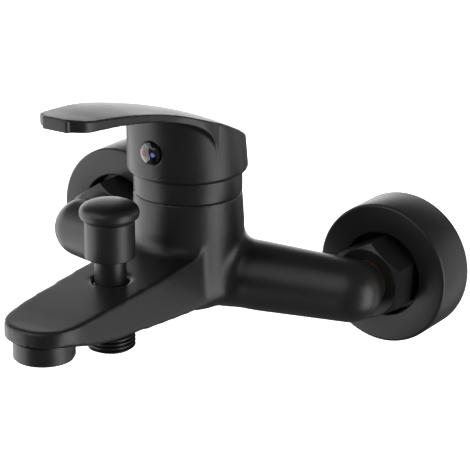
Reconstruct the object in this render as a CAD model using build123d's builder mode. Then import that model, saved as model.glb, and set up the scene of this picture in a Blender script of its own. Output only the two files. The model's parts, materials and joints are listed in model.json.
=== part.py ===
from build123d import *
from math import asin, degrees, hypot, radians, sin
import os

# Wall mounted bath faucet with a pull-up diverter, in millimetres.
# The wall is the plane Y = 0 and the faucet stands out of it towards -Y; +X is its right, +Z is up.
# The origin is halfway between the two wall inlets, on the wall.
# Heights named h are measured from the arms' axis, which the eccentric unions lift above the inlets.

# ---- driving dimensions ----
CENTRES = 150.0            # between the two inlets
LIFT = 8.0                 # arms' axis above the wall inlets
HALF_INCH_R = 10.478       # G1/2 male thread
THREE_QUARTER_R = 13.22    # G3/4 male thread
WALL_THREAD = 16.0         # length that goes into the wall
BODY_OUT = 67.0            # barrel axis, out from the wall
DIVERTER_OUT = 125.0       # diverter and shower outlet axis
AERATOR_OUT = 171.0        # aerator axis
SPOUT_TIP = 186.0          # spout tip
LEVER_TIP = 160.3          # lever tip
BARREL_R = 24.5            # barrel radius at its top
BARREL_TOP = 38.8
RING_TOP = 48.5
SKIRT_BOTTOM = 48.8
PIVOT = 40.8               # height of the lever's tilting axis
LEVER_LIFT = 25.0          # degrees that the lever lifts
DIVERTER_TRAVEL = 7.0      # lift of the diverter knob
SLIP = 0.05                # radial clearance of a running or sliding fit


def up(h):
    return LIFT + h


def save(builder, label):
    builder.part.label = label
    export_step(builder.part, f"parts/{label}.step")


def turned(out, outline, mode=Mode.ADD):
    """Turn an outline of (radius, h) points about the vertical axis that stands out from the wall."""
    with BuildSketch(Plane.XZ.offset(out)) as profile:
        with BuildLine():
            Polyline(*[(r, up(h)) for r, h in outline], close=True)
        make_face()
    revolve(profile.sketch, axis=Axis((0, -out, 0), (0, 0, 1)), mode=mode)


def turned_inlet(side, outline, height=LIFT, mode=Mode.ADD):
    """Turn an outline of (radius, distance out from the wall) points about an inlet's axis."""
    centre = (side * CENTRES / 2, 0, height)
    with BuildSketch(Plane(centre)) as profile:
        with BuildLine():
            Polyline(*[(r, -out) for r, out in outline], close=True)
        make_face()
    revolve(profile.sketch, axis=Axis(centre, (0, -1, 0)), mode=mode)


def crease(joined, first, second):
    """Edges of a joined solid where the surfaces of its two parts meet."""
    def on(solid, edge):
        return all(min(f.distance_to(edge @ t) for f in solid.faces()) < 0.001 for t in (0.25, 0.5, 0.75))
    return [edge for edge in joined.edges() if on(first, edge) and on(second, edge)]


def o_ring(out, ring_r, wire_r, h):
    with BuildSketch(Plane.XZ.offset(out)) as wire:
        with Locations((ring_r, up(h))):
            Circle(wire_r)
    revolve(wire.sketch, axis=Axis((0, -out, 0), (0, 0, 1)))


os.makedirs("parts", exist_ok=True)

# ---- body casting ----
ARM_ROOT = (0.0, -59.6)
ARM_CORNER = (CENTRES / 2, -48.2)
ARM_FACE = 37.0            # arm's end face, out from the wall
ARM_R_BODY = 17.2
ARM_R_END = 14.2
ARM_R_NECK = 11.2
ARM_BORE_R = 6.8
NECK_BORE_R = 6.4
POCKET_R = 20.05
POCKET_FLOOR = 9.0
COLLAR_R = 22.0
BARREL_BOTTOM = -13.6
SPOUT_FILLET = 6.0
COLLAR_FLOOR = 31.0
PORT_R = 3.5
INLET_PORTS = [(-8.5, -63.5), (8.5, -63.5)]
OUTLET_PORT = (0.0, -75.5)
WATERWAY_R = 3.8
WATERWAY_H = 0.0
CHAMBER_R = 8.0
CHAMBER_FLOOR = -3.0
TAIL_R = 9.0
TAIL_DEPTH = 8.0
AERATOR_R = 13.2
AERATOR_SEAT = 1.7
AERATOR_THREAD_R = 11.9
AERATOR_CEILING = 7.6

run = (ARM_CORNER[0] - ARM_ROOT[0], ARM_CORNER[1] - ARM_ROOT[1])
ARM_LENGTH = hypot(*run)
along_arm = (run[0] / ARM_LENGTH, run[1] / ARM_LENGTH, 0)


def arm(r_body, r_end, r_neck, skip):
    """One arm: a tapered run with a ball at its corner, and a neck towards the wall; skip moves its root."""
    start = (ARM_ROOT[0] + skip * along_arm[0], ARM_ROOT[1] + skip * along_arm[1], LIFT)
    length = ARM_LENGTH - skip
    r_root = r_body - skip * (r_body - r_end) / ARM_LENGTH
    with BuildSketch(Plane(start, x_dir=along_arm, z_dir=(0, 0, 1))) as half:
        with BuildLine():
            Polyline((0, 0), (0, r_root), (length, r_end))
            CenterArc((length, 0), r_end, 0, 90)
            Line((length + r_end, 0), (0, 0))
        make_face()
    revolve(half.sketch, axis=Axis(start, along_arm))
    with BuildSketch(Plane((*ARM_CORNER, LIFT), z_dir=(0, 1, 0))) as neck:
        Circle(r_neck)
    extrude(neck.sketch, amount=-ARM_FACE - ARM_CORNER[1])
    with BuildSketch(Plane((ARM_CORNER[0], -ARM_FACE, LIFT), z_dir=(0, 1, 0))) as past_the_face:
        Rectangle(ARM_CORNER[0], 4 * r_end)
    extrude(past_the_face.sketch, amount=2 * r_end, mode=Mode.SUBTRACT)


with BuildPart() as arm_outside:
    arm(ARM_R_BODY, ARM_R_END, ARM_R_NECK, -3)

with BuildPart() as arm_inside:
    arm(ARM_BORE_R, ARM_BORE_R, NECK_BORE_R, 6.5)

# Spout: its plan, half width against distance out, cut to its side view.
SPOUT_TOP = [(60, 17.2), (96, 15.2), (125, 13.3), (160, 11.1), (178, 9.9), (190, 9.8)]
SPOUT_BOTTOM = [(190, 2.6), (178, 2.4), (160, -1.7), (128, -5.3), (96, -8.1), (60, -9.8)]

SPOUT_DRAFT = 0.8          # how much wider each side is at the bottom of the casting


def spout_plan(h, wider):
    with BuildSketch(Plane.XY.offset(up(h))) as plan:
        with BuildLine():
            Polyline((0, -60), (19.4 + wider, -60), (20.4 + wider, -112), (18.75 + wider, -160))
            tip = -SPOUT_TIP - wider
            Spline((18.75 + wider, -160), (15.0 + wider, -178), (0, tip), tangents=[(-0.06, -1), (-1, 0)])
            Line((0, tip), (0, -60))
        make_face()
        mirror(about=Plane.YZ)
    return plan.sketch


with BuildPart() as spout:
    loft([spout_plan(-17, SPOUT_DRAFT), spout_plan(18, -0.1)], ruled=True)
    with BuildSketch(Plane.YZ.offset(-40)):
        with BuildLine():
            top = Spline(*[(-out, up(h)) for out, h in SPOUT_TOP])
            Line(top @ 1, (-190, up(2.6)))
            under = Spline(*[(-out, up(h)) for out, h in SPOUT_BOTTOM])
            Line(under @ 1, top @ 0)
        make_face()
    extrude(amount=80, mode=Mode.INTERSECT)

# Nipple and bonnet holes share the diverter axis; the aerator has its own.
NIPPLE_R = 9.5
NIPPLE_BOTTOM = -18.0
NIPPLE_TOP = -3.0

with BuildPart() as barrel:
    turned(BODY_OUT, [(0, BARREL_BOTTOM), (25.5, BARREL_BOTTOM), (25.4, 24), (BARREL_R, BARREL_TOP),
                      (0, BARREL_TOP)])
    fillet(edges().group_by(Axis.Z)[0], 11)

with BuildPart() as barrel_and_spout:
    add(barrel.part)
    add(spout.part)
    fillet(crease(barrel_and_spout, barrel.part, spout.part), SPOUT_FILLET)

both_arms = arm_outside.part + mirror(arm_outside.part, about=Plane.YZ)

with BuildPart() as body_casting:
    add(barrel_and_spout.part)
    add(both_arms)
    # cartridge pocket, its collar thread and the ports in its floor
    turned(BODY_OUT, [(0, POCKET_FLOOR), (POCKET_R, POCKET_FLOOR), (POCKET_R, COLLAR_FLOOR),
                      (COLLAR_R, COLLAR_FLOOR), (COLLAR_R, BARREL_TOP + 1), (0, BARREL_TOP + 1)],
           mode=Mode.SUBTRACT)
    add(arm_inside.part, mode=Mode.SUBTRACT)
    add(mirror(arm_inside.part, about=Plane.YZ), mode=Mode.SUBTRACT)
    with BuildSketch(Plane.XY.offset(up(0))):
        with Locations(*INLET_PORTS, OUTLET_PORT):
            Circle(PORT_R)
    extrude(amount=POCKET_FLOOR + 1, mode=Mode.SUBTRACT)
    # mixed water to the diverter chamber, then on to the aerator
    with BuildSketch(Plane.XZ.offset(BODY_OUT + 5)):
        with Locations((0, up(WATERWAY_H))):
            Circle(WATERWAY_R)
    extrude(amount=DIVERTER_OUT - BODY_OUT - 5, mode=Mode.SUBTRACT)
    with BuildSketch(Plane.XZ.offset(DIVERTER_OUT)):
        with Locations((0, up(5.6))):
            Circle(3.0)
    extrude(amount=AERATOR_OUT - DIVERTER_OUT, mode=Mode.SUBTRACT)
    turned(DIVERTER_OUT, [(0, -20), (NIPPLE_R, -20), (NIPPLE_R, CHAMBER_FLOOR), (CHAMBER_R, CHAMBER_FLOOR),
                          (CHAMBER_R, 12.2), (8.9, 13.1), (8.9, 15), (0, 15)], mode=Mode.SUBTRACT)
    turned(AERATOR_OUT, [(0, -10), (AERATOR_R + SLIP, -10), (AERATOR_R + SLIP, AERATOR_SEAT),
                         (AERATOR_THREAD_R, AERATOR_SEAT), (AERATOR_THREAD_R, AERATOR_CEILING),
                         (0, AERATOR_CEILING)], mode=Mode.SUBTRACT)
    # seats for the inlet tails
    with BuildSketch(Plane.XZ.offset(ARM_FACE)):
        with Locations((CENTRES / 2, LIFT), (-CENTRES / 2, LIFT)):
            Circle(TAIL_R)
    extrude(amount=TAIL_DEPTH, mode=Mode.SUBTRACT)
save(body_casting, "body_casting")

# ---- barrel trim ----
with BuildPart() as trim_ring:
    turned(BODY_OUT, [(21.9, BARREL_TOP), (24.3, BARREL_TOP), (BARREL_R, BARREL_TOP + 0.4),
                      (BARREL_R, RING_TOP - 0.4), (24.1, RING_TOP), (18.6, RING_TOP),
                      (18.6, RING_TOP - 1.8), (21.9, RING_TOP - 1.8)])
save(trim_ring, "trim_ring")

with BuildPart() as clamp_nut:
    turned(BODY_OUT, [(17.6, COLLAR_FLOOR), (COLLAR_R - SLIP, COLLAR_FLOOR), (COLLAR_R - SLIP, 38.4),
                      (21.6, 38.8), (21.6, 44.6), (20.8, 45.4), (17.6, 45.4)])
    with BuildSketch(Plane.XY.offset(up(41.5))):
        with Locations((0, -BODY_OUT)):
            with PolarLocations(21.6, 6):
                Rectangle(3.0, 4.0)
    extrude(amount=5, mode=Mode.SUBTRACT)
save(clamp_nut, "cartridge_clamp_nut")

# ---- ceramic cartridge ----
HOUSING_R = 20.0
HOUSING_BORE = 16.2
HOUSING_TOP = 43.8
BASE_BOTTOM = 9.4
SPLIT = 13.0
FIXED_DISC = (15.0, 19.2)
MOVING_DISC = (19.2, 24.2)
DRIVER = (24.2, 31.4)
CARRIER = (31.8, 36.8)
NECK_TOP = 45.2
NECK_R = 9.0
DISC_R = 12.8
STEM_ARM = 12.0            # from the tilting axis down to the stem's ball
SLOT = 8.6                 # slot for the stem across the carrier
DISC_TRAVEL = STEM_ARM * sin(radians(LEVER_LIFT))
DISC_OUT = BODY_OUT - DISC_TRAVEL / 2

with BuildPart() as cartridge_housing:
    turned(BODY_OUT, [(HOUSING_BORE, SPLIT), (HOUSING_R, SPLIT), (HOUSING_R, COLLAR_FLOOR),
                      (17.4, COLLAR_FLOOR), (17.4, 42.4), (16.0, HOUSING_TOP), (NECK_R + SLIP, HOUSING_TOP),
                      (NECK_R + SLIP, 41.2), (HOUSING_BORE, 41.2)])
save(cartridge_housing, "cartridge_housing")

with BuildPart() as cartridge_base:
    turned(BODY_OUT, [(0, BASE_BOTTOM), (HOUSING_R, BASE_BOTTOM), (HOUSING_R, SPLIT),
                      (HOUSING_BORE, SPLIT), (HOUSING_BORE, FIXED_DISC[0]), (0, FIXED_DISC[0])])
    with BuildSketch(Plane.XY.offset(up(BASE_BOTTOM))):
        with Locations(*INLET_PORTS, OUTLET_PORT):
            Circle(PORT_R)
    extrude(amount=6, mode=Mode.SUBTRACT)
    with BuildSketch(Plane.XY.offset(up(BASE_BOTTOM))):
        with Locations(*INLET_PORTS, OUTLET_PORT):
            Circle(5.2)
    extrude(amount=1.2, mode=Mode.SUBTRACT)
save(cartridge_base, "cartridge_base")

with BuildPart() as cartridge_seals:
    with BuildSketch(Plane.XY.offset(up(POCKET_FLOOR))):
        with Locations(*INLET_PORTS, OUTLET_PORT):
            Circle(5.15)
            Circle(3.6, mode=Mode.SUBTRACT)
    extrude(amount=BASE_BOTTOM + 1.2 - POCKET_FLOOR)
save(cartridge_seals, "cartridge_seals")

with BuildPart() as fixed_disc:
    with BuildSketch(Plane.XY.offset(up(FIXED_DISC[0]))):
        with Locations((0, -BODY_OUT)):
            Circle(15.9)
        with Locations(*INLET_PORTS, OUTLET_PORT):
            Circle(PORT_R, mode=Mode.SUBTRACT)
    extrude(amount=FIXED_DISC[1] - FIXED_DISC[0])
save(fixed_disc, "fixed_ceramic_disc")

with BuildPart() as moving_disc:
    turned(DISC_OUT, [(0, MOVING_DISC[0] + 2.6), (8.5, MOVING_DISC[0] + 2.6), (8.5, MOVING_DISC[0]),
                      (DISC_R, MOVING_DISC[0]), (DISC_R, MOVING_DISC[1]), (0, MOVING_DISC[1])])
save(moving_disc, "moving_ceramic_disc")

with BuildPart() as disc_driver:
    with BuildSketch(Plane.XY.offset(up(DRIVER[0]))):
        with Locations((0, -DISC_OUT)):
            Circle(DISC_R)
    extrude(amount=DRIVER[1] - DRIVER[0])
    with BuildSketch(Plane.XY.offset(up(28))):
        with Locations((16.0, -DISC_OUT), (-16.0, -DISC_OUT)):
            Rectangle(2 * (16.0 - 9.95), 30)
    extrude(amount=5, mode=Mode.SUBTRACT)
    with BuildSketch(Plane.XY.offset(up(25))):
        with Locations((0, -BODY_OUT)):
            Circle(3.65)
    extrude(amount=8, mode=Mode.SUBTRACT)
save(disc_driver, "disc_driver")

with BuildPart() as carrier:
    turned(BODY_OUT, [(0, CARRIER[0]), (15.9, CARRIER[0]), (15.9, CARRIER[1]), (NECK_R, CARRIER[1]),
                      (NECK_R, NECK_TOP), (0, NECK_TOP)])
    with BuildSketch(Plane.XY.offset(up(CARRIER[0]))):
        with Locations((0, -BODY_OUT)):
            Rectangle(SLOT, 19)
    extrude(amount=20, mode=Mode.SUBTRACT)
    with BuildSketch(Plane.XY.offset(up(28.4))):
        with Locations((11.2, -BODY_OUT), (-11.2, -BODY_OUT)):
            Rectangle(2.4, 16)
    extrude(amount=CARRIER[0] - 28.4)
    with BuildSketch(Plane.YZ.offset(-12)):
        with Locations((-BODY_OUT, up(PIVOT))):
            Circle(1.5)
    extrude(amount=24, mode=Mode.SUBTRACT)
save(carrier, "cartridge_carrier")

with BuildPart() as stem_pin:
    with BuildSketch(Plane.YZ.offset(-8.6)):
        with Locations((-BODY_OUT, up(PIVOT))):
            Circle(1.5)
    extrude(amount=17.2)
save(stem_pin, "stem_pin")

STEM_TOP = 66.0
STEM_SIDE = 8.0
with BuildPart() as lever_stem:
    with BuildSketch(Plane.XY.offset(up(PIVOT))):
        with Locations((0, -BODY_OUT)):
            Rectangle(STEM_SIDE, STEM_SIDE)
    extrude(amount=STEM_TOP - PIVOT)
    chamfer(faces().sort_by(Axis.Z)[-1].edges(), 0.8)
    with BuildSketch(Plane.YZ.offset(-STEM_SIDE / 2)):
        with Locations((-BODY_OUT, up(PIVOT))):
            Circle(STEM_SIDE / 2)
    extrude(amount=STEM_SIDE)
    ball = PIVOT - STEM_ARM
    with BuildSketch(Plane.XZ.offset(BODY_OUT)):
        with BuildLine():
            Line((0, up(PIVOT)), (0, up(ball - 3.3)))
            RadiusArc((0, up(ball - 3.3)), (2.2, up(ball + 2.46)), -3.3, short_sagitta=False)
            Polyline((2.2, up(ball + 2.46)), (2.2, up(PIVOT)), (0, up(PIVOT)))
        make_face()
    revolve(axis=Axis((0, -BODY_OUT, 0), (0, 0, 1)))
    with BuildSketch(Plane.YZ.offset(-12)):
        with Locations((-BODY_OUT, up(PIVOT))):
            Circle(1.5 + SLIP)
    extrude(amount=24, mode=Mode.SUBTRACT)
save(lever_stem, "lever_stem")

with BuildPart() as carrier_ring:
    o_ring(BODY_OUT, NECK_R + 1.5, 0.9, CARRIER[1] + 0.95)
save(carrier_ring, "carrier_o_ring")

# ---- handle ----
# The skirt is an oblique cone: its front stands upright while its back and sides lean in.
SKIRT_R = 27.2
SKIRT_WALL = 2.4
SKIRT_LEAN = 0.0365        # radius lost for each millimetre of height
SKIRT_SHIFT = 0.075        # how far the section's centre comes forward for each millimetre
CROWN_R = 128.0            # the top is crowned from side to side
CROWN_HALF = 32.0
TOP_WALL = 5.0             # depth of the hollow's ceiling below the middle of the top
# top and underside of the lever along its middle, as (distance out, h)
HANDLE_TOP = [(36, 55.5), (50, 64.9), (60, 70.6), (72, 76.4), (90, 82.65), (108, 87.4), (126, 91.1),
              (144, 93.2), (168, 94.2)]
LEVER_UNDER = [(168, 89.4), (150, 88.3), (132, 86.9), (114, 84.0), (102, 81.0), (94, 78.5), (87.5, 75.2),
               (83, 71.3), (80, 66.9), (79, 62)]
PLUG_H = 62.6
PLUG_R = 5.0


def skirt_section(h, inset):
    rise = h - SKIRT_BOTTOM
    with BuildSketch(Plane.XY.offset(up(h))) as section:
        with Locations((0, -BODY_OUT - SKIRT_SHIFT * rise)):
            Circle(SKIRT_R - SKIRT_LEAN * rise - inset)
    return section.sketch


def crowned_section(out, h):
    """The region under the handle's crowned top at one distance out."""
    edge_h = h - CROWN_HALF ** 2 / (2 * CROWN_R)
    with BuildSketch(Plane.XZ.offset(out)) as section:
        with BuildLine():
            left, right = (-CROWN_HALF, up(edge_h)), (CROWN_HALF, up(edge_h))
            ThreePointArc(left, (0, up(h)), right)
            Polyline(right, (CROWN_HALF, up(38)), (-CROWN_HALF, up(38)), left)
        make_face()
    return section.sketch


handle_top = loft([crowned_section(out, h) for out, h in HANDLE_TOP])

with BuildPart() as skirt_hollow:
    loft([skirt_section(SKIRT_BOTTOM, SKIRT_WALL), skirt_section(90, SKIRT_WALL)], ruled=True)
    with BuildSketch(Plane.YZ.offset(-40)):
        with BuildLine():
            ceiling = Spline(*[(-out, up(h - TOP_WALL)) for out, h in HANDLE_TOP])
            Polyline(ceiling @ 1, (-HANDLE_TOP[-1][0], up(40)), (-HANDLE_TOP[0][0], up(40)), ceiling @ 0)
        make_face()
    extrude(amount=80, mode=Mode.INTERSECT)
    turned(BODY_OUT, [(0, 51.2), (8.0, 51.2), (8.0, 90), (0, 90)], mode=Mode.SUBTRACT)

with BuildPart() as lever:
    with BuildSketch(Plane.XY.offset(up(60))):
        with BuildLine():
            Polyline((0, -61), (21.5, -61), (22.8, -70), (24.5, -78.4))
            Spline((24.5, -78.4), (24.4, -84), (22.7, -90), (19.9, -96), (17.6, -107), (16.8, -122),
                   (15.1, -138), (13.6, -150), (11.1, -155.8), (6.4, -159.2), (0, -LEVER_TIP),
                   tangents=[(0.02, -1), (-1, 0)])
            Line((0, -LEVER_TIP), (0, -61))
        make_face()
        mirror(about=Plane.YZ)
    extrude(amount=42)
    with BuildSketch(Plane.YZ.offset(-40)):
        with BuildLine():
            under = Spline(*[(-out, up(h)) for out, h in LEVER_UNDER])
            Polyline(under @ 1, (-LEVER_UNDER[-1][0], up(50)), (-LEVER_UNDER[0][0], up(50)), under @ 0)
        make_face()
    extrude(amount=80, mode=Mode.SUBTRACT)

with BuildPart() as handle:
    loft([skirt_section(SKIRT_BOTTOM, 0), skirt_section(99, 0)], ruled=True)
    fillet(edges().sort_by(Axis.Z)[0], 2.0)
    add(lever.part)
    add(handle_top, mode=Mode.INTERSECT)
    add(skirt_hollow.part, mode=Mode.SUBTRACT)
    # square socket for the stem, the grub screw's thread and the plug's seat
    with BuildSketch(Plane.XY.offset(up(SKIRT_BOTTOM))):
        with Locations((0, -BODY_OUT)):
            Rectangle(STEM_SIDE + 2 * SLIP, STEM_SIDE + 2 * SLIP)
    extrude(amount=STEM_TOP + 0.4 - SKIRT_BOTTOM, mode=Mode.SUBTRACT)
    with BuildSketch(Plane.XZ.offset(BODY_OUT)):
        with Locations((0, up(PLUG_H))):
            Circle(2.5)
    extrude(amount=12, mode=Mode.SUBTRACT)
    with BuildSketch(Plane.XZ.offset(BODY_OUT + 16)):
        with Locations((0, up(PLUG_H))):
            Circle(PLUG_R + SLIP)
    extrude(amount=20, mode=Mode.SUBTRACT)
save(handle, "handle")

with BuildPart() as grub_screw:
    with BuildSketch(Plane.XZ.offset(BODY_OUT + STEM_SIDE / 2)):
        with Locations((0, up(PLUG_H))):
            Circle(2.5)
    extrude(amount=4.0)
    with BuildSketch(Plane.XZ.offset(BODY_OUT + 6)):
        with Locations((0, up(PLUG_H))):
            RegularPolygon(1.25, 6, major_radius=False)
    extrude(amount=3.0, mode=Mode.SUBTRACT)
save(grub_screw, "handle_grub_screw")

PLUG_BACK = 91.6
PLUG_RIM = 95.4
PLUG_CROWN = 96.9
MARK_X = 2.3
dome_rise = PLUG_CROWN - PLUG_RIM
dome_r = (PLUG_R ** 2 + dome_rise ** 2) / (2 * dome_rise)
with BuildPart() as index_plug:
    with BuildSketch(Plane.XY.offset(up(PLUG_H))):
        with BuildLine():
            Polyline((0, -PLUG_CROWN), (0, -PLUG_BACK), (PLUG_R, -PLUG_BACK), (PLUG_R, -PLUG_RIM))
            CenterArc((0, dome_r - PLUG_CROWN), dome_r, -90, degrees(asin(PLUG_R / dome_r)))
        make_face()
    revolve(axis=Axis((0, 0, up(PLUG_H)), (0, 1, 0)))
    with BuildSketch(Plane.XZ.offset(95)):
        with Locations((-MARK_X, up(PLUG_H)), (MARK_X, up(PLUG_H))):
            Circle(1.2)
    extrude(amount=5, mode=Mode.SUBTRACT)
save(index_plug, "index_plug")

for mark_x, mark_label in [(-MARK_X, "hot_mark"), (MARK_X, "cold_mark")]:
    with BuildPart() as mark:
        with BuildSketch(Plane.XZ.offset(95)):
            with Locations((mark_x, up(PLUG_H))):
                Circle(1.2)
        extrude(amount=1.7)
        fillet(faces().sort_by(Axis.Y)[0].edges(), 0.3)
    save(mark, mark_label)

# ---- diverter ----
BONNET_TOP = 26.6
KNOB_BOTTOM = 24.0
PISTON = (-8.0, -5.5)
PISTON_R = 6.3
SEAL = 1.5
SEAT = PISTON[0] - SEAL
BONNET_BOTTOM = PISTON[1] + SEAL + DIVERTER_TRAVEL
ROD_R = 2.5
SPRING_R = 4.3
SPRING_WIRE = 0.35
SPRING_ROOM = 21.0
SPRING_TURNS = 9

with BuildPart() as nipple:
    turned(DIVERTER_OUT, [(5.0, NIPPLE_BOTTOM), (9.4, NIPPLE_BOTTOM), (HALF_INCH_R, NIPPLE_BOTTOM + 1.1),
                          (HALF_INCH_R, -8.2), (NIPPLE_R - SLIP, -8.2), (NIPPLE_R - SLIP, NIPPLE_TOP - SLIP),
                          (7.2, NIPPLE_TOP - SLIP), (7.2, SEAT), (5.0, SEAT)])
save(nipple, "shower_outlet")

with BuildPart() as bonnet:
    turned(DIVERTER_OUT, [(5.2, BONNET_BOTTOM), (CHAMBER_R - SLIP, BONNET_BOTTOM), (CHAMBER_R - SLIP, 4.4),
                          (6.8, 4.4), (6.8, 8.6), (CHAMBER_R - SLIP, 8.6), (CHAMBER_R - SLIP, 11.6),
                          (7.0, 12.2), (7.0, BONNET_TOP - 0.6), (6.4, BONNET_TOP), (ROD_R + SLIP, BONNET_TOP),
                          (ROD_R + SLIP, SPRING_ROOM), (5.2, SPRING_ROOM)])
    with BuildSketch(Plane.XZ.offset(DIVERTER_OUT - 12)):
        with Locations((0, up(6.5))):
            Circle(1.9)
    extrude(amount=24, mode=Mode.SUBTRACT)
    turned(DIVERTER_OUT, [(ROD_R, 22.8), (4.1, 22.8), (4.1, 24.6), (ROD_R, 24.6)], mode=Mode.SUBTRACT)
    turned(DIVERTER_OUT, [(7.1, 9.6), (9, 9.6), (9, 10.9), (7.1, 10.9)], mode=Mode.SUBTRACT)
save(bonnet, "diverter_bonnet")

with BuildPart() as rod_seal:
    o_ring(DIVERTER_OUT, 3.32, 0.72, 23.7)
save(rod_seal, "rod_o_ring")

with BuildPart() as bonnet_seal:
    o_ring(DIVERTER_OUT, 7.55, 0.42, 10.25)
save(bonnet_seal, "bonnet_o_ring")

with BuildPart() as piston:
    turned(DIVERTER_OUT, [(ROD_R + SLIP, PISTON[0]), (PISTON_R, PISTON[0]), (PISTON_R, PISTON[1]),
                          (ROD_R + SLIP, PISTON[1])])
save(piston, "diverter_piston")

for seal_bottom, seal_label in [(PISTON[0] - SEAL, "lower_piston_seal"), (PISTON[1], "upper_piston_seal")]:
    with BuildPart() as seal:
        turned(DIVERTER_OUT, [(ROD_R + SLIP, seal_bottom), (PISTON_R, seal_bottom),
                              (PISTON_R, seal_bottom + SEAL), (ROD_R + SLIP, seal_bottom + SEAL)])
    save(seal, seal_label)

with BuildPart() as rod:
    turned(DIVERTER_OUT, [(0, SEAT - 1.4), (3.6, SEAT - 1.4), (3.6, SEAT - 0.1), (ROD_R, SEAT - 0.1),
                          (ROD_R, 41.0), (0, 41.0)])
    turned(DIVERTER_OUT, [(0, PISTON[1] + SEAL + 0.1), (3.5, PISTON[1] + SEAL + 0.1),
                          (3.5, PISTON[1] + SEAL + 1.1), (0, PISTON[1] + SEAL + 1.1)])
save(rod, "diverter_rod")

with BuildPart() as spring:
    spring_foot = PISTON[1] + SEAL + SPRING_WIRE
    spring_height = SPRING_ROOM - SPRING_WIRE - spring_foot
    pitch = spring_height / SPRING_TURNS
    coil = Helix(pitch, spring_height, SPRING_R, center=(0, -DIVERTER_OUT, up(spring_foot)))
    with BuildSketch(Plane(coil @ 0, z_dir=coil % 0)) as spring_wire:
        Circle(SPRING_WIRE)
    sweep(spring_wire.sketch, path=coil, is_frenet=True)
save(spring, "diverter_spring")

with BuildPart() as knob:
    with BuildSketch(Plane.XZ.offset(DIVERTER_OUT)):
        with BuildLine():
            Polyline((ROD_R, up(35.5)), (8.2, up(35.5)), (8.2, up(KNOB_BOTTOM)), (10.6, up(KNOB_BOTTOM)),
                     (11.15, up(KNOB_BOTTOM + 0.6)), (10.95, up(37.6)))
            Spline((10.95, up(37.6)), (12.5, up(39.9)), (13.16, up(43.6)), (12.0, up(46.6)), (9.5, up(47.9)),
                   (0, up(49.3)), tangents=[(1, 0.5), (-1, 0)])
            Polyline((0, up(49.3)), (0, up(41.0)), (ROD_R, up(41.0)), (ROD_R, up(35.5)))
        make_face()
    revolve(axis=Axis((0, -DIVERTER_OUT, 0), (0, 0, 1)))
save(knob, "diverter_knob")

# ---- aerator ----
with BuildPart() as aerator_housing:
    turned(AERATOR_OUT, [(11.0, -6.6), (12.7, -6.6), (AERATOR_R, -6.1), (AERATOR_R, AERATOR_SEAT),
                         (AERATOR_THREAD_R - SLIP, AERATOR_SEAT), (AERATOR_THREAD_R - SLIP, 6.0), (10.6, 6.0),
                         (10.6, -5.0), (11.0, -5.4)])
    with BuildSketch(Plane.XY.offset(up(-7))):
        with Locations((0, -AERATOR_OUT)):
            with PolarLocations(AERATOR_R + 2.3, 2, start_angle=205, angular_range=180, endpoint=True):
                Rectangle(6, 20)
    extrude(amount=5.2, mode=Mode.SUBTRACT)
save(aerator_housing, "aerator_housing")

with BuildPart() as aerator_insert:
    turned(AERATOR_OUT, [(0, -4.8), (10.55, -4.8), (10.55, 5.8), (9.3, 5.8), (9.3, 2.0), (0, 2.0)])
    with BuildSketch(Plane.XY.offset(up(-5))):
        with Locations((0, -AERATOR_OUT)):
            with PolarLocations(3.4, 6):
                Circle(1.0)
            with PolarLocations(7.0, 12):
                Circle(1.0)
    extrude(amount=8, mode=Mode.SUBTRACT)
save(aerator_insert, "aerator_insert")

with BuildPart() as aerator_washer:
    turned(AERATOR_OUT, [(8.6, 6.0), (11.8, 6.0), (11.8, AERATOR_CEILING), (8.6, AERATOR_CEILING)])
save(aerator_washer, "aerator_washer")

# ---- inlets: tail, union nut, washer, eccentric union and escutcheon on each side ----
NUT_FRONT = 36.0
NUT_BACK = 17.5
NUT_FLATS = 32.0
NUT_TILT = 4.0
NUT_LIP = 31.4
TAIL_NECK = 10.4
FLANGE_R = 12.8
FLANGE_BACK = 28.4
UNION_FACE = 26.4
ESCUTCHEON_R = 32.5
ESCUTCHEON_DEPTH = 22.0
RECESS_R = 19.2
RECESS_FLOOR = 13.0
SHEET = 1.4
UNION_BORE = THREE_QUARTER_R + SLIP
UNION_NECK_R = 10.0

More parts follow.
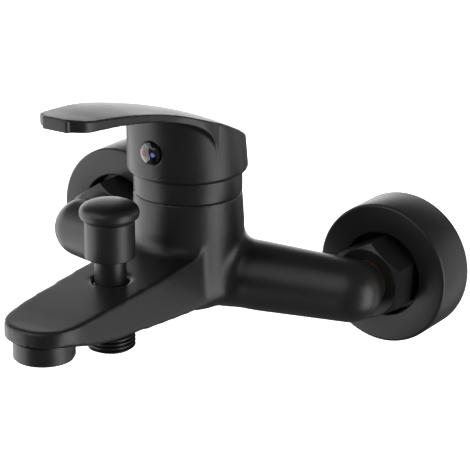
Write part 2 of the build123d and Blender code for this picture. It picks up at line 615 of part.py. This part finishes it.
for side, name in [(-1, "left"), (1, "right")]:
    with BuildPart() as tail:
        turned_inlet(side, [(6.4, FLANGE_BACK), (FLANGE_R, FLANGE_BACK), (FLANGE_R, NUT_LIP - 0.1),
                            (TAIL_NECK, NUT_LIP - 0.1), (TAIL_NECK, ARM_FACE), (TAIL_R - SLIP, ARM_FACE),
                            (TAIL_R - SLIP, ARM_FACE + TAIL_DEPTH), (6.4, ARM_FACE + TAIL_DEPTH)])
    save(tail, f"{name}_inlet_tail")

    with BuildPart() as nut:
        with BuildSketch(Plane.XZ.offset(NUT_BACK)):
            with Locations(Location((side * CENTRES / 2, LIFT), 30 - side * NUT_TILT)):
                RegularPolygon(NUT_FLATS / 2, 6, major_radius=False)
        extrude(amount=NUT_FRONT - NUT_BACK)
        # both ends are turned down to a cone at the corners
        turned_inlet(side, [(0, NUT_BACK), (17.2, NUT_BACK), (18.8, NUT_BACK + 1.0), (18.8, NUT_FRONT - 2.2),
                            (15.6, NUT_FRONT), (0, NUT_FRONT)], mode=Mode.INTERSECT)
        turned_inlet(side, [(0, NUT_BACK - 1), (UNION_BORE, NUT_BACK - 1), (UNION_BORE, NUT_LIP),
                            (TAIL_NECK + SLIP, NUT_LIP), (TAIL_NECK + SLIP, NUT_FRONT + 1),
                            (0, NUT_FRONT + 1)], mode=Mode.SUBTRACT)
    save(nut, f"{name}_union_nut")

    with BuildPart() as washer:
        turned_inlet(side, [(8.6, UNION_FACE), (12.6, UNION_FACE), (12.6, FLANGE_BACK), (8.6, FLANGE_BACK)])
    save(washer, f"{name}_inlet_washer")

    with BuildPart() as union:
        turned_inlet(side, [(0, -WALL_THREAD), (9.6, -WALL_THREAD), (HALF_INCH_R, 1 - WALL_THREAD),
                            (HALF_INCH_R, 0), (UNION_NECK_R, 0.4), (UNION_NECK_R, 6), (0, 6)], height=0)
        turned_inlet(side, [(0, 5), (THREE_QUARTER_R, 5), (THREE_QUARTER_R, UNION_FACE), (0, UNION_FACE)])
        with BuildSketch(Plane.XZ.offset(3)):
            with Locations((side * CENTRES / 2, LIFT / 2)):
                SlotCenterToCenter(LIFT, 2 * UNION_NECK_R, rotation=90)
        extrude(amount=6)
        turned_inlet(side, [(0, -WALL_THREAD - 1), (6.2, -WALL_THREAD - 1), (6.2, 9), (0, 9)], height=0,
                     mode=Mode.SUBTRACT)
        turned_inlet(side, [(0, 4), (8.2, 4), (8.2, UNION_FACE + 1), (0, UNION_FACE + 1)],
                     mode=Mode.SUBTRACT)
    save(union, f"{name}_s_union")

    with BuildPart() as escutcheon:
        turned_inlet(side, [(ESCUTCHEON_R, 0), (ESCUTCHEON_R, ESCUTCHEON_DEPTH - 0.6),
                            (ESCUTCHEON_R - 0.6, ESCUTCHEON_DEPTH), (RECESS_R, ESCUTCHEON_DEPTH),
                            (RECESS_R, RECESS_FLOOR + SHEET), (UNION_BORE, RECESS_FLOOR + SHEET),
                            (UNION_BORE, RECESS_FLOOR), (RECESS_R + SHEET, RECESS_FLOOR),
                            (RECESS_R + SHEET, ESCUTCHEON_DEPTH - SHEET),
                            (ESCUTCHEON_R - SHEET, ESCUTCHEON_DEPTH - SHEET), (ESCUTCHEON_R - SHEET, 0)])
    save(escutcheon, f"{name}_escutcheon")
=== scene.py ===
# %% [markdown]
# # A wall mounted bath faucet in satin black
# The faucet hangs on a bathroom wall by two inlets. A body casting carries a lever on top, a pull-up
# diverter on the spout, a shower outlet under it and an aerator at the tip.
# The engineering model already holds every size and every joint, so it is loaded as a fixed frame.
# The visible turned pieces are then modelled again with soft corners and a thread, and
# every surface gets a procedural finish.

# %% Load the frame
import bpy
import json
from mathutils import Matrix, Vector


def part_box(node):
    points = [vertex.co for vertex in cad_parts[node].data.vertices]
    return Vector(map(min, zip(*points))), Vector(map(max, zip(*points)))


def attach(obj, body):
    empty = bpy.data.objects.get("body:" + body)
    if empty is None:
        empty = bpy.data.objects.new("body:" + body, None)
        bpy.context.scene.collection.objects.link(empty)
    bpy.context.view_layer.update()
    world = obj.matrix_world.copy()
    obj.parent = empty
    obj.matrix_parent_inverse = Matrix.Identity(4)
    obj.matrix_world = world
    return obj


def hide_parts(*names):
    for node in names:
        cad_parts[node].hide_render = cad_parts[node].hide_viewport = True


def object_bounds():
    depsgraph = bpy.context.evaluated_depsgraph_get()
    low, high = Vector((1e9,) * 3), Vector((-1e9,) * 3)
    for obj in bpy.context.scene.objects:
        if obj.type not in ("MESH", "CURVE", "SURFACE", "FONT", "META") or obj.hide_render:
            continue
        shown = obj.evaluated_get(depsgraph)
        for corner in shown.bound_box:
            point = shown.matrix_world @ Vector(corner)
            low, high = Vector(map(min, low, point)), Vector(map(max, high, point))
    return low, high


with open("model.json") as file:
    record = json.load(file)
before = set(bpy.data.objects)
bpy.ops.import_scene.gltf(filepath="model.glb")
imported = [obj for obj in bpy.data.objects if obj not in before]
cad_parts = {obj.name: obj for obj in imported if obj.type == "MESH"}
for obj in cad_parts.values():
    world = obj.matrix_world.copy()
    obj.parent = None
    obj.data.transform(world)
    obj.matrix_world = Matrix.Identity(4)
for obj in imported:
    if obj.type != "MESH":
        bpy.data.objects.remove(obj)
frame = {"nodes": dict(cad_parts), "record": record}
cad_low, cad_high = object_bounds()

# %% Libraries and units
import json
import math
import bmesh
import bpy
from mathutils import Matrix, Vector

MM = 0.001
MERGE = 0.002 * MM         # points closer than this are one point
UP = Vector((0, 0, 1))
OUT = Vector((0, -1, 0))
RIGHT = Vector((1, 0, 0))

# %% [markdown]
# ## Camera
# The faucet is seen from the front right and a little above, from about a metre away, through a long
# lens that keeps its upright lines upright. The camera looks at a point between the barrel and the
# spout. It could be aimed by a Track To constraint, but a direction turned into a rotation is simpler
# and has nothing that can move later.

# %% Camera
AZIMUTH = math.radians(35.4)
ELEVATION = math.radians(19.2)
DISTANCE = 0.98963
LENS = 166.7
SENSOR = 36.0
AIM_RIGHT = 0.01712
AIM_DOWN = 0.00578
look_from = Vector((math.sin(AZIMUTH) * math.cos(ELEVATION),
                    -math.cos(AZIMUTH) * math.cos(ELEVATION), math.sin(ELEVATION)))
to_right = Vector((math.cos(AZIMUTH), math.sin(AZIMUTH), 0))
to_top = look_from.cross(to_right)
spout_root = Vector((0, -0.060, 0.0287))
aim = spout_root + AIM_RIGHT * to_right - AIM_DOWN * to_top
camera = bpy.data.objects.new("camera", bpy.data.cameras.new("camera"))
bpy.context.scene.collection.objects.link(camera)
camera.location = spout_root + DISTANCE * look_from
camera.rotation_euler = (aim - camera.location).to_track_quat("-Z", "Y").to_euler()
camera.data.lens = LENS
camera.data.sensor_width = SENSOR
bpy.context.scene.camera = camera
print("camera at", [round(v, 4) for v in camera.location], "lens", LENS)

# %% [markdown]
# ## Floor and light
# A black satin object is drawn by what it reflects, so the light matters more than the paint. A studio
# lights such an object with large soft boxes: one on each side gives the long upright streaks on the
# round parts, a low one behind gives the flat tops their pale sheen, and a weak one in front lifts the
# arms. A single bright sky would be simpler, but it makes every side of a black object equally grey.
# The floor is a plain pale sweep, well below the faucet. It is kept out of the reflections, so the
# undersides stay dark, as they would over a studio table.

# %% Floor
FLOOR_DEPTH = 0.30
FLOOR_SIZE = 14.0


def new_object(name, mesh):
    piece = bpy.data.objects.new(name, mesh)
    bpy.context.scene.collection.objects.link(piece)
    return piece


bm = bmesh.new()
bmesh.ops.create_grid(bm, x_segments=1, y_segments=1, size=FLOOR_SIZE / 2,
                      matrix=Matrix.Translation((0, 0, cad_low[2] - FLOOR_DEPTH)))
floor_mesh = bpy.data.meshes.new("floor")
bm.to_mesh(floor_mesh)
bm.free()
floor = new_object("floor", floor_mesh)
floor.visible_glossy = False
floor.visible_diffuse = False
floor.visible_shadow = False

# %% Lights
LAMP_DISTANCE = 1.5


def soft_box(name, azimuth, elevation, width, height, power):
    """A rectangular lamp that faces the faucet; azimuth 0 is straight in front, and 90 its right."""
    around, above = math.radians(azimuth), math.radians(elevation)
    direction = Vector((math.sin(around) * math.cos(above), -math.cos(around) * math.cos(above),
                        math.sin(above)))
    lamp = bpy.data.lights.new(name, "AREA")
    lamp.shape = "RECTANGLE"
    lamp.size = width
    lamp.size_y = height
    lamp.energy = power
    holder = bpy.data.objects.new(name, lamp)
    bpy.context.scene.collection.objects.link(holder)
    holder.location = spout_root + LAMP_DISTANCE * direction
    holder.rotation_euler = (-direction).to_track_quat("-Z", "Y").to_euler()
    holder.visible_camera = False


soft_box("left_box", azimuth=-70, elevation=-12, width=2.5, height=1.9, power=31)
soft_box("right_box", azimuth=95, elevation=-12, width=0.98, height=1.9, power=17.5)
soft_box("back_box", azimuth=215, elevation=4, width=2.1, height=0.8, power=13.3)
soft_box("front_box", azimuth=-28, elevation=38, width=2.0, height=1.3, power=10)
soft_box("far_box", azimuth=147, elevation=-12, width=0.9, height=1.6, power=3)

# %% [markdown]
# A faint even sky fills what the boxes leave dark. More of it would wash the black out to grey.

# %% World
SKY = 0.14
world = bpy.data.worlds.new("studio")
bpy.context.scene.world = world
world.use_nodes = True
tree = world.node_tree
tree.nodes.clear()
sky = tree.nodes.new("ShaderNodeBackground")
sky.inputs["Color"].default_value = (1, 1, 1, 1)
sky.inputs["Strength"].default_value = SKY
world_out = tree.nodes.new("ShaderNodeOutputWorld")
tree.links.new(sky.outputs["Background"], world_out.inputs["Surface"])
bpy.context.scene.view_settings.view_transform = "Standard"

# %% [markdown]
# ## Shared effects
# Several finishes need the same two effects. One is a fine grain: sprayed or plated metal is never
# perfectly even, and its relief is a few tenths of a millimetre wide. The other is a slow cloud, which
# is what fingers, water and polishing leave. Both are built once as node groups that put out values,
# and each material uses them with its own size and strength.

# %% Node helpers
def group(name, inputs, outputs):
    """An empty shader node group with named float inputs and outputs."""
    made = bpy.data.node_groups.new(name, "ShaderNodeTree")
    for label, value in inputs.items():
        socket = made.interface.new_socket(label, in_out="INPUT", socket_type="NodeSocketFloat")
        socket.default_value = value
    for label in outputs:
        made.interface.new_socket(label, in_out="OUTPUT", socket_type="NodeSocketFloat")
    made.nodes.new("NodeGroupInput")
    made.nodes.new("NodeGroupOutput")
    return made


def add_node(tree, kind, settings=None, values=None):
    node = tree.nodes.new("ShaderNode" + kind)
    for key, value in (settings or {}).items():
        setattr(node, key, value)
    for key, value in (values or {}).items():
        node.inputs[key].default_value = value
    return node


def scaled_place(tree, scale_output):
    """Object coordinates, which are metres here, times a scale."""
    place = add_node(tree, "TexCoord")
    scale = add_node(tree, "VectorMath", {"operation": "SCALE"})
    tree.links.new(place.outputs["Object"], scale.inputs["Vector"])
    tree.links.new(scale_output, scale.inputs["Scale"])
    return scale.outputs["Vector"]


# %% Grain group
grain = group("surface grain", {"Per metre": 3000.0, "Softness": 0.5}, ["Height"])
source = grain.nodes["Group Input"]
sink = grain.nodes["Group Output"]
spot = scaled_place(grain, source.outputs["Per metre"])
fine = add_node(grain, "TexNoise", values={"Scale": 1.0, "Detail": 3.0})
grain.links.new(spot, fine.inputs["Vector"])
grain.links.new(source.outputs["Softness"], fine.inputs["Roughness"])
grain.links.new(fine.outputs["Fac"], sink.inputs["Height"])

# %% Cloud group
cloud = group("slow cloud", {"Per metre": 45.0, "Low": 0.3, "High": 0.5}, ["Value", "Mask"])
source = cloud.nodes["Group Input"]
sink = cloud.nodes["Group Output"]
spot = scaled_place(cloud, source.outputs["Per metre"])
haze = add_node(cloud, "TexNoise", values={"Scale": 1.0, "Detail": 5.0, "Roughness": 0.62})
cloud.links.new(spot, haze.inputs["Vector"])
clip = add_node(cloud, "MapRange", values={"From Min": 0.32, "From Max": 0.68})
cloud.links.new(haze.outputs["Fac"], clip.inputs["Value"])
spread = add_node(cloud, "MapRange")
cloud.links.new(clip.outputs["Result"], spread.inputs["Value"])
cloud.links.new(source.outputs["Low"], spread.inputs["To Min"])
cloud.links.new(source.outputs["High"], spread.inputs["To Max"])
cloud.links.new(spread.outputs["Result"], sink.inputs["Value"])
cloud.links.new(clip.outputs["Result"], sink.inputs["Mask"])
print("groups:", [g.name for g in bpy.data.node_groups])

# %% [markdown]
# ## Finishes
# Every material is the same short recipe: a pale and a dark tone mixed by the cloud, a roughness that
# wanders between two values, and a fine bump from the grain. What differs is the scale and how strong
# each part is. The constant numbers, such as metallic and specular, stay on the shader itself.

# %% Finish recipe
def finish(name, dark, pale, roughness, metallic=0.0, cloud_size=0.022, grain_size=0.00035, bump=0.1,
           depth=0.00002, coat=0.0, specular=0.5):
    """A procedural finish: two tones, a roughness range and a grain."""
    made = bpy.data.materials.new(name)
    made.use_nodes = True
    tree = made.node_tree
    shader = tree.nodes["Principled BSDF"]
    shader.inputs["Metallic"].default_value = metallic
    shader.inputs["Coat Weight"].default_value = coat
    shader.inputs["Specular IOR Level"].default_value = specular
    wander = add_node(tree, "Group", {"node_tree": cloud},
                      {"Per metre": 1 / cloud_size, "Low": roughness[0], "High": roughness[1]})
    tree.links.new(wander.outputs["Value"], shader.inputs["Roughness"])
    tones = add_node(tree, "Mix", {"data_type": "RGBA"})
    tones.inputs["A"].default_value = (*dark, 1)
    tones.inputs["B"].default_value = (*pale, 1)
    tree.links.new(wander.outputs["Mask"], tones.inputs["Factor"])
    tree.links.new(tones.outputs["Result"], shader.inputs["Base Color"])
    speckle = add_node(tree, "Group", {"node_tree": grain}, {"Per metre": 1 / grain_size})
    relief = add_node(tree, "Bump", values={"Strength": bump, "Distance": depth})
    tree.links.new(speckle.outputs["Height"], relief.inputs["Height"])
    tree.links.new(relief.outputs["Normal"], shader.inputs["Normal"])
    return made


black = finish("satin_black", (0.0085, 0.0085, 0.0088), (0.0125, 0.0125, 0.0128), (0.36, 0.43), bump=0.35)
brass = finish("turned_brass", (0.52, 0.35, 0.13), (0.66, 0.47, 0.2), (0.24, 0.4), metallic=1.0)
steel = finish("spring_steel", (0.46, 0.46, 0.45), (0.6, 0.6, 0.59), (0.2, 0.36), metallic=1.0)
rubber = finish("black_rubber", (0.011, 0.011, 0.011), (0.022, 0.022, 0.021), (0.62, 0.8), bump=0.5)
ceramic = finish("lapped_ceramic", (0.72, 0.7, 0.66), (0.82, 0.81, 0.78), (0.12, 0.2))
cartridge_plastic = finish("cartridge_plastic", (0.3, 0.3, 0.29), (0.38, 0.38, 0.37), (0.38, 0.5))
carrier_plastic = finish("carrier_plastic", (0.03, 0.07, 0.16), (0.045, 0.09, 0.2), (0.38, 0.5))
aerator_plastic = finish("aerator_plastic", (0.11, 0.11, 0.11), (0.16, 0.16, 0.16), (0.4, 0.55))
plug_gloss = finish("gloss_black", (0.004, 0.004, 0.0045), (0.008, 0.008, 0.0085), (0.08, 0.14), coat=0.6)
hot_red = finish("hot_red", (0.42, 0.012, 0.01), (0.56, 0.02, 0.014), (0.2, 0.3), coat=0.4)
cold_blue = finish("cold_blue", (0.012, 0.05, 0.34), (0.02, 0.08, 0.5), (0.2, 0.3), coat=0.4)
pale_floor = finish("pale_floor", (0.80, 0.80, 0.80), (0.84, 0.84, 0.84), (0.8, 0.9), cloud_size=0.6,
                    grain_size=0.004)
sheen = pale_floor.node_tree.nodes["Principled BSDF"]
sheen.inputs["Emission Color"].default_value = (1, 1, 1, 1)
sheen.inputs["Emission Strength"].default_value = 1.0
floor.data.materials.append(pale_floor)

# %% Finishes on the carried-over pieces
slot_finish = {"matte_black": black, "brass": brass, "steel": steel, "rubber": rubber, "ceramic": ceramic,
               "cartridge_plastic": cartridge_plastic, "carrier_plastic": carrier_plastic,
               "aerator_plastic": aerator_plastic, "plug_gloss": plug_gloss, "hot_red": hot_red,
               "cold_blue": cold_blue}
node_slot = {entry["node"]: entry["material_slot"] for entry in frame["record"]["subparts"]}
for node_name, node in frame["nodes"].items():
    node.data.materials.clear()
    node.data.materials.append(slot_finish[node_slot[node_name]])
print("finishes:", len(slot_finish), "on", len(node_slot), "nodes")

# %% [markdown]
# ## How the pieces are made
# Most parts of a faucet are turned on a lathe or cast and polished. A turned part is an outline spun
# about its axis, so one helper does all of them: it draws the outline as a face, rounds each corner with
# a vertex bevel, and spins the edges. Drawing every ring by hand would give the same surface, with
# more places for a mistake.
# A cast part has broad soft blends that an engineering model leaves sharp. Its mesh is copied, merged
# and re-skinned with even small faces, so that smoothing can then melt a blend where one belongs.

# %% Piece helpers
body_of = {node: body for body, nodes in frame["record"]["behaviour"]["bodies"].items() for node in nodes}


def keep(bm, node, name, material, sharp=35):
    """Close the mesh, shade it and hang it on the body that carries the CAD node it replaces."""
    bmesh.ops.remove_doubles(bm, verts=bm.verts[:], dist=MERGE)
    bmesh.ops.recalc_face_normals(bm, faces=bm.faces[:])
    mesh = bpy.data.meshes.new(name)
    bm.to_mesh(mesh)
    bm.free()
    mesh.shade_smooth()
    mesh.set_sharp_from_angle(angle=math.radians(sharp))
    mesh.materials.append(material)
    piece = new_object(name, mesh)
    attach(piece, body_of[node])
    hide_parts(node)
    print(name, "faces", len(mesh.polygons), "size mm", [round(v / MM, 1) for v in piece.dimensions])


def turn(bm, centre, axis, outline, steps=96):
    """Spin a closed outline of (radius, height along the axis, corner radius) in millimetres."""
    corners = [bm.verts.new(centre + radius * MM * RIGHT + height * MM * axis)
               for radius, height, _ in outline]
    bm.faces.new(corners)
    for corner, (_, _, soft) in zip(corners, outline):
        if soft:
            bmesh.ops.bevel(bm, geom=[corner], offset=soft * MM, offset_type="OFFSET", segments=4,
                            profile=0.5, affect="VERTICES", material=-1)
    bmesh.ops.delete(bm, geom=bm.faces[:], context="FACES_ONLY")
    bmesh.ops.spin(bm, geom=bm.verts[:] + bm.edges[:], cent=centre, axis=axis, dvec=(0, 0, 0),
                   angle=math.tau, steps=steps, use_merge=True, use_duplicate=False)


def reskin(node, voxel):
    """A merged copy of a CAD mesh, covered again with even faces about one voxel wide."""
    bm = bmesh.new()
    bm.from_mesh(frame["nodes"][node].data)
    bmesh.ops.remove_doubles(bm, verts=bm.verts[:], dist=0.001 * MM)
    mesh = bpy.data.meshes.new(node + "_copy")
    bm.to_mesh(mesh)
    bm.free()
    copy = new_object(node + "_copy", mesh)
    skin = copy.modifiers.new("skin", "REMESH")
    skin.mode = "VOXEL"
    skin.voxel_size = voxel * MM
    evaluated = copy.evaluated_get(bpy.context.evaluated_depsgraph_get())
    skinned = bmesh.new()
    skinned.from_mesh(evaluated.to_mesh())
    evaluated.to_mesh_clear()
    bpy.data.objects.remove(copy)
    bpy.data.meshes.remove(mesh)
    return skinned


def melt(bm, chosen, rounds):
    """Smooth the chosen vertices a number of times."""
    for _ in range(rounds):
        bmesh.ops.smooth_vert(bm, verts=chosen, factor=0.5,
                              use_axis_x=True, use_axis_y=True, use_axis_z=True)


# %% Driving lines
def middle(node):
    low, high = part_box(node)
    return (Vector(low) + Vector(high)) / 2


AXIS_H = 8.0 * MM          # the arms' axis above the wall inlets; heights in the outlines start from it
INLET_X = 75 * MM          # each inlet, to either side of the middle
barrel_axis = Vector((middle("trim_ring").x, middle("trim_ring").y, AXIS_H))
diverter_axis = Vector((middle("diverter_knob").x, middle("diverter_knob").y, AXIS_H))
print("axes:", [[round(v / MM, 2) for v in axis] for axis in (barrel_axis, diverter_axis)])

# %% [markdown]
# ## Body casting
# The body is one brass casting: barrel, two arms and spout. Where an arm leaves the barrel the pattern
# maker fills the corner with a broad blend, and the polisher softens it further. The engineering model
# meets there in a sharp crease. The copy is re-skinned and the crease is melted in three passes, each
# on a narrower band, so that the blend fades out instead of ending in a ledge. The spout's lower edge is
# softened by itself. A bevel on the crease would be the usual way, but the crease runs over curved
# faces of very different sizes, where a bevel this broad folds over itself.

# %% Body shell
ARM_ROOT = Vector((0, -59.6, 8.0)) * MM
ARM_CORNER = Vector((75, -48.2, 8.0)) * MM
BARREL_R = 25.4 * MM
ARM_R = (17.2 * MM, 14.2 * MM)
SPOUT_SIDE = 20.6 * MM
BODY_SKIN = 0.85           # width of the body's new faces, in millimetres
EDGE_ROOT, EDGE_TOP, EDGE_SIDE = -78 * MM, 15 * MM, 15 * MM     # the spout's lower edge lies past these
EDGE_ROUNDS = 14
BODY_ROUNDS = 3
MELT_PASSES = [(8.0, 30), (5.5, 40), (3.5, 40)]    # half width of each band, and its smoothing rounds


def off_barrel(place):
    return abs(math.hypot(place.x - barrel_axis.x, place.y - barrel_axis.y) - BARREL_R)


def off_arm(place):
    near = Vector((abs(place.x), place.y, place.z))
    run = ARM_CORNER - ARM_ROOT
    along = (near - ARM_ROOT).dot(run) / run.length_squared
    radius = ARM_R[0] + (ARM_R[1] - ARM_R[0]) * along
    return abs((near - ARM_ROOT - along * run).length - radius)


def off_spout(place):
    return abs(abs(place.x) - SPOUT_SIDE) if place.y < barrel_axis.y else 1.0


bm = reskin("body_casting", BODY_SKIN)
print("body skin faces", len(bm.faces))
for width, rounds in MELT_PASSES:
    band = [v for v in bm.verts if off_arm(v.co) < width * MM
            and (off_barrel(v.co) < width * MM or off_spout(v.co) < width * MM)]
    melt(bm, band, rounds)
lower_edge = [v for v in bm.verts if v.co.y < EDGE_ROOT and v.co.z < EDGE_TOP and abs(v.co.x) > EDGE_SIDE]
melt(bm, lower_edge, EDGE_ROUNDS)
melt(bm, bm.verts[:], BODY_ROUNDS)
keep(bm, "body_casting", "body_shell", black, sharp=50)

# %% [markdown]
# ## Handle
# The handle is a die casting with a crowned top that runs out into a flat lever. Its rim is polished to
# a radius of about half a millimetre all round. Re-skinning and a few light smoothing rounds give
# that radius everywhere at once, where a bevel would have to follow a long curved edge that fades out.

# %% Handle shell
HANDLE_SKIN = 0.5
HANDLE_ROUNDS = 4
bm = reskin("handle", HANDLE_SKIN)
melt(bm, bm.verts[:], HANDLE_ROUNDS)
keep(bm, "handle", "handle_shell", black, sharp=50)

# %% [markdown]
# ## Diverter knob
# The knob is a turned sleeve with a mushroom head. A tight groove parts the two, and the head is one
# round bulge under a shallow dome. It is hollow below, where it slides down over the bonnet.

# %% Diverter knob
bm = bmesh.new()
turn(bm, diverter_axis, UP, [
    (0, 41.0, 0), (2.5, 41.0, 0), (2.5, 35.5, 0), (8.2, 35.5, 0.4), (8.2, 24.0, 0.25), (11.05, 24.0, 0.5),
    (10.95, 40.6, 0.35), (10.4, 41.1, 0.2), (11.4, 41.45, 0.25), (12.7, 42.2, 0.5), (13.16, 43.8, 0.7),
    (12.95, 45.4, 0.7), (12.0, 46.9, 0.8), (9.8, 48.1, 1.1), (5.8, 48.95, 1.8), (0, 49.3, 0)], steps=128)
keep(bm, "diverter_knob", "turned_knob", black, sharp=40)

# %% [markdown]
# ## Escutcheons
# Each escutcheon is a spun cup that hides the eccentric union. Spinning leaves every bend with a radius,
# here about a millimetre at the rim, and that thin pale line of light is what shows that it is sheet.

# %% Escutcheons
for side, sign in (("left", -1), ("right", 1)):
    node = side + "_escutcheon"
    bm = bmesh.new()
    turn(bm, Vector((sign * INLET_X, 0, AXIS_H)), OUT, [
        (32.5, 0, 0.3), (32.5, 22.0, 1.5), (19.2, 22.0, 0.9), (19.2, 14.4, 0.6), (13.27, 14.4, 0.3),
        (13.27, 13.0, 0.3), (20.6, 13.0, 1.2), (20.6, 20.6, 0.8), (31.1, 20.6, 1.0), (31.1, 0, 0.3)],
        steps=160)
    keep(bm, node, side + "_spun_cover", black, sharp=40)

# %% [markdown]
# ## Trim ring
# The ring closes the gap under the handle. Both of its edges are broken by a small radius.

# %% Trim ring
bm = bmesh.new()
turn(bm, barrel_axis, UP, [
    (21.9, 38.8, 0.2), (24.5, 38.8, 0.45), (24.5, 48.5, 0.45), (18.6, 48.5, 0.2), (18.6, 46.7, 0.2),
    (21.9, 46.7, 0.2)], steps=128)
keep(bm, "trim_ring", "turned_ring", black)

# %% [markdown]
# ## Shower outlet
# The outlet is a short nipple with a half-inch pipe thread: fourteen threads to the inch, so a pitch of
# 1.814 mm, and 1.16 mm deep. One tooth is drawn and spun while it climbs, which is how a thread is cut.
# The helix is made a turn too long at each end and then cut flat, so that it runs out as it does
# behind a real die, and the cuts are bridged to the plain nipple.

# %% Thread helper
def flat_rim(bm, centre, axis, height):
    """Open edges that lie in one plane across the axis."""
    return [edge for edge in bm.edges if edge.is_boundary and
            all(abs((v.co - centre).dot(axis) - height * MM) < MERGE for v in edge.verts)]


def cut_thread(bm, centre, axis, root, crest, start, end, pitch, steps=60):
    """A helical tooth between two heights, in millimetres, cut flat at both ends."""
    tooth = [(root, 0.0), (root, 0.12), (crest, 0.44), (crest, 0.56), (root, 0.88), (root, 1.0)]
    corners = [bm.verts.new(centre + radius * MM * RIGHT + (start + (part - 1.0) * pitch) * MM * axis)
               for radius, part in tooth]
    line = [bm.edges.new(pair) for pair in zip(corners, corners[1:])]
    turns = math.ceil((end - start) / pitch) + 1
    bmesh.ops.spin(bm, geom=corners + line, cent=centre, axis=axis, dvec=axis * pitch * MM / steps,
                   angle=math.tau * turns, steps=steps * turns, use_merge=False, use_duplicate=False)
    bmesh.ops.remove_doubles(bm, verts=bm.verts[:], dist=MERGE)
    for height, below in ((start, True), (end, False)):
        bmesh.ops.bisect_plane(bm, geom=bm.verts[:] + bm.edges[:] + bm.faces[:], dist=0.0001 * MM,
                               plane_co=centre + height * MM * axis, plane_no=axis,
                               clear_inner=below, clear_outer=not below)


# %% Shower outlet
THREAD_START, THREAD_END = -17.5, -8.6
THREAD_ROOT, THREAD_CREST, THREAD_PITCH = 9.32, 10.47, 1.814
bm = bmesh.new()
cut_thread(bm, diverter_axis, UP, THREAD_ROOT, THREAD_CREST, THREAD_START, THREAD_END, THREAD_PITCH)
wall = [(9.0, THREAD_START), (8.7, -18.0), (5.0, -18.0), (5.0, -9.5), (7.2, -9.5), (7.2, -3.05), (9.2, -3.05),
        (9.2, THREAD_END)]
corners = [bm.verts.new(diverter_axis + radius * MM * RIGHT + height * MM * UP) for radius, height in wall]
line = [bm.edges.new(pair) for pair in zip(corners, corners[1:])]
bmesh.ops.spin(bm, geom=corners + line, cent=diverter_axis, axis=UP, dvec=(0, 0, 0), angle=math.tau, steps=60,
               use_merge=True, use_duplicate=False)
bmesh.ops.remove_doubles(bm, verts=bm.verts[:], dist=MERGE)
for height in (THREAD_START, THREAD_END):
    bmesh.ops.bridge_loops(bm, edges=flat_rim(bm, diverter_axis, UP, height))
keep(bm, "shower_outlet", "threaded_outlet", black, sharp=30)
